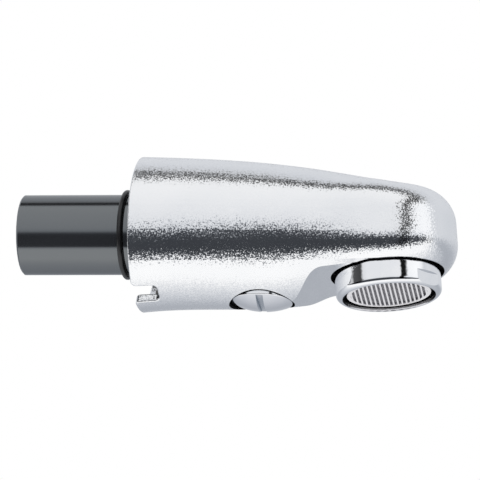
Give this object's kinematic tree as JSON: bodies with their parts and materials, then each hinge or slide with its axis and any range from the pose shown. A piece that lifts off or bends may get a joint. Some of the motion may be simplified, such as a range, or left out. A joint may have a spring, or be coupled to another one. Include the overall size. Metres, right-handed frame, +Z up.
{
  "type": "tap spout",
  "caption": "Tapered wall-mounted tap spout in satin chrome with a plug-in inlet tube, a slotted lock screw underneath and a screw-in aerator at its outlet.",
  "frame": {"origin": "centre of the inlet tube's open end, on the tube's axis", "axes": "+X along the inlet tube towards the spout's tip, +Z up, -Y towards the side that the notch in the rim is nearer to"},
  "size_m": [0.1315, 0.0466, 0.0465],
  "materials": {
    "satin_chrome": "fine-grained satin chrome plate on cast brass",
    "polished_chrome": "polished chrome plate on brass",
    "black_plastic": "smooth glossy moulding",
    "black_rubber": "smooth moulded rubber",
    "red_rubber": "smooth moulded rubber",
    "white_plastic": "moulded",
    "pale_plastic": "moulded, slightly glossy",
    "blue_plastic": "moulded",
    "steel_mesh": "perforated sheet"
  },
  "bodies": {
    "tube": {"inlet_tube": "black_plastic", "tube_bead": "black_rubber", "glide_ring": "white_plastic", "tube_seal_outer": "black_rubber", "tube_seal_inner": "black_rubber"},
    "spout": {"spout_body": "satin_chrome"},
    "screw_carrier": {"screw_seal": "black_rubber"},
    "screw": {"lock_screw": "polished_chrome", "screw_pad": "white_plastic"},
    "aerator_carrier": {"aerator_gasket": "black_rubber"},
    "aerator": {"aerator_housing": "polished_chrome", "cartridge_cage": "white_plastic", "outlet_grid": "pale_plastic", "lower_screen": "steel_mesh", "screen_spacer": "white_plastic", "upper_screen": "steel_mesh", "jet_plate": "blue_plastic", "regulator_core": "white_plastic", "regulator_ring": "red_rubber", "inlet_strainer": "blue_plastic"}
  },
  "joints": [
    {"name": "spout_swivel", "type": "hinge", "parent": "tube", "child": "spout", "pos_m": [0, 0, 0], "axis": [1, 0, 0], "continuous": true},
    {"name": "lock_screw_travel", "type": "slide", "parent": "spout", "child": "screw_carrier", "axis": [0, 0, -1], "range_m": [0, 0.005]},
    {"name": "lock_screw_turn", "type": "hinge", "parent": "screw_carrier", "child": "screw", "pos_m": [0.0737, 0, -0.019], "axis": [0, 0, -1], "range_deg": [0, 1801]},
    {"name": "aerator_travel", "type": "slide", "parent": "spout", "child": "aerator_carrier", "axis": [0.1132, 0, -0.9936], "range_m": [0, 0.0045]},
    {"name": "aerator_turn", "type": "hinge", "parent": "aerator_carrier", "child": "aerator", "pos_m": [0.11112, 0, -0.0125], "axis": [0.1132, 0, -0.9936], "range_deg": [0, 1621]}
  ],
  "couplings": [
    {"joint": "lock_screw_turn", "follows": "lock_screw_travel", "rad_per_m": 6283.2},
    {"joint": "aerator_turn", "follows": "aerator_travel", "rad_per_m": 6283.2}
  ]
}
